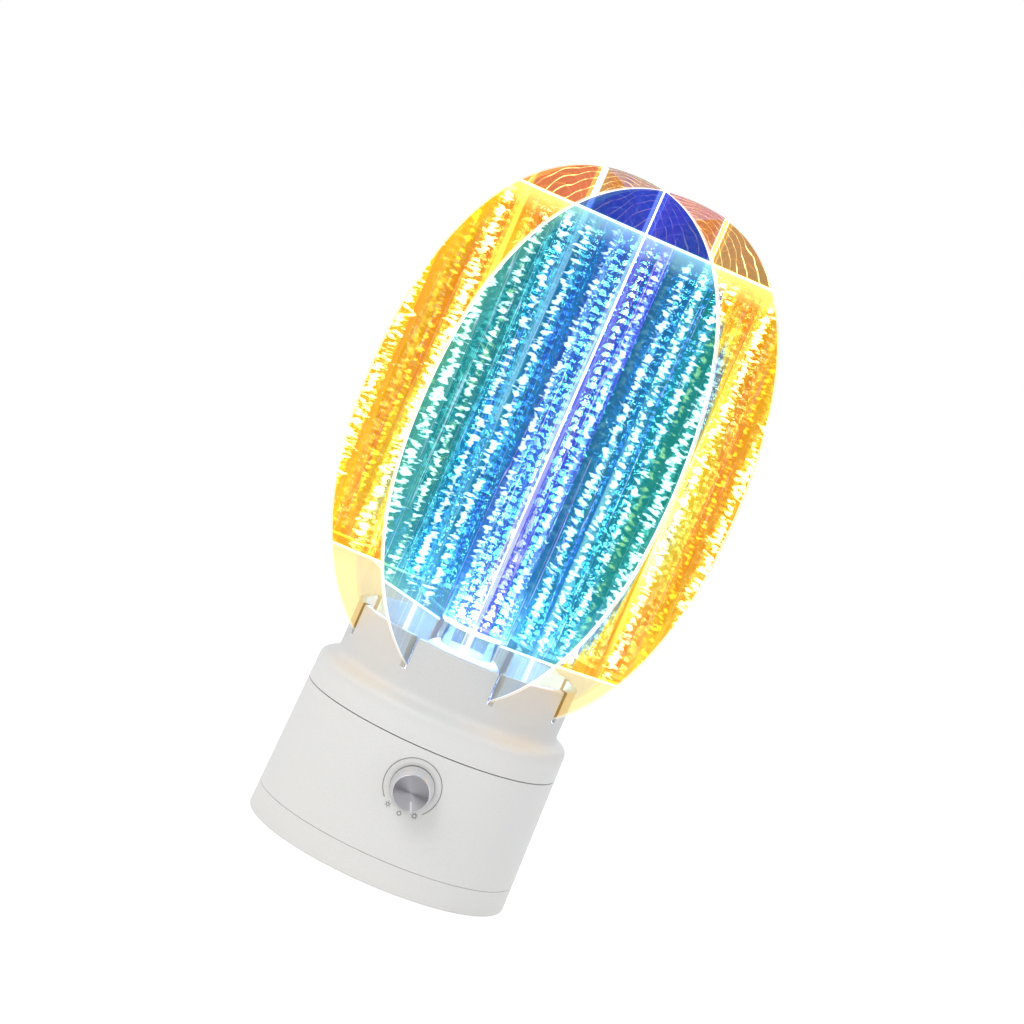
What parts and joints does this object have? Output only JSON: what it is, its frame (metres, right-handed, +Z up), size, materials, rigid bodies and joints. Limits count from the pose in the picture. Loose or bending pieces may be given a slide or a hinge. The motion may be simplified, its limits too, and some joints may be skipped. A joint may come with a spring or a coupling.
{
  "type": "night light",
  "caption": "Night light: a round tapered base with a dimmer knob carries crossed oval coated plates in a slotted neck round an upright clear bubble column.",
  "frame": {"origin": "on the table, under the middle of the base", "axes": "+Z up along the bubble column, -Y out of the dimmer knob, +X to the right seen from the knob's side"},
  "size_m": [0.1296, 0.1296, 0.2356],
  "materials": {
    "base_abs": "matte",
    "foot_rubber": "matte",
    "zinc_steel": "satin",
    "screw_steel": "satin",
    "tray_abs": "satin",
    "cell_wrap": "satin",
    "board_laminate": "satin",
    "chip_resin": "satin",
    "plug_nylon": "satin",
    "lead_pvc": "satin",
    "socket_steel": "satin",
    "socket_resin": "satin",
    "led_laminate": "satin",
    "led_phosphor": "satin",
    "milky_acrylic": "satin",
    "clear_acrylic": "gloss",
    "coated_acrylic": "gloss",
    "knob_aluminium": "satin",
    "brass_nickel": "satin",
    "pot_resin": "satin"
  },
  "bodies": {
    "lamp": {"foot_pads": "foot_rubber", "bottom_cover": "base_abs", "base_screws": "screw_steel", "counterweight": "zinc_steel", "equipment_tray": "tray_abs", "tray_screws": "screw_steel", "battery_cell": "cell_wrap", "control_board": "board_laminate", "board_screws": "screw_steel", "board_plugs": "plug_nylon", "board_parts": "chip_resin", "usb_socket_shell": "socket_steel", "usb_socket_tongue": "socket_resin", "drum_shell": "base_abs", "lead_grommet": "foot_rubber", "head_cover": "base_abs", "head_screws": "screw_steel", "led_board": "led_laminate", "led_chips": "led_phosphor", "led_screws": "screw_steel", "led_plug": "plug_nylon", "light_diffuser": "milky_acrylic", "column_socket": "milky_acrylic", "bubble_column": "clear_acrylic", "front_right_plate": "coated_acrylic", "front_left_plate": "coated_acrylic", "rear_left_plate": "coated_acrylic", "rear_right_plate": "coated_acrylic", "pot_body": "zinc_steel", "pot_track": "pot_resin", "pot_switch": "pot_resin", "pot_terminals": "zinc_steel", "pot_bushing": "brass_nickel", "pot_washer": "zinc_steel", "pot_nut": "brass_nickel", "led_lead": "lead_pvc", "dial_lead": "lead_pvc", "battery_lead": "lead_pvc"},
    "knob": {"knob_cap": "knob_aluminium", "knob_insert": "tray_abs", "pot_shaft": "brass_nickel", "pot_wiper": "pot_resin"}
  },
  "joints": [
    {"name": "knob_turn", "type": "hinge", "parent": "lamp", "child": "knob", "pos_m": [0, -0.0439, 0.03405], "axis": [0, -1, 0], "range_deg": [0, 300]}
  ]
}
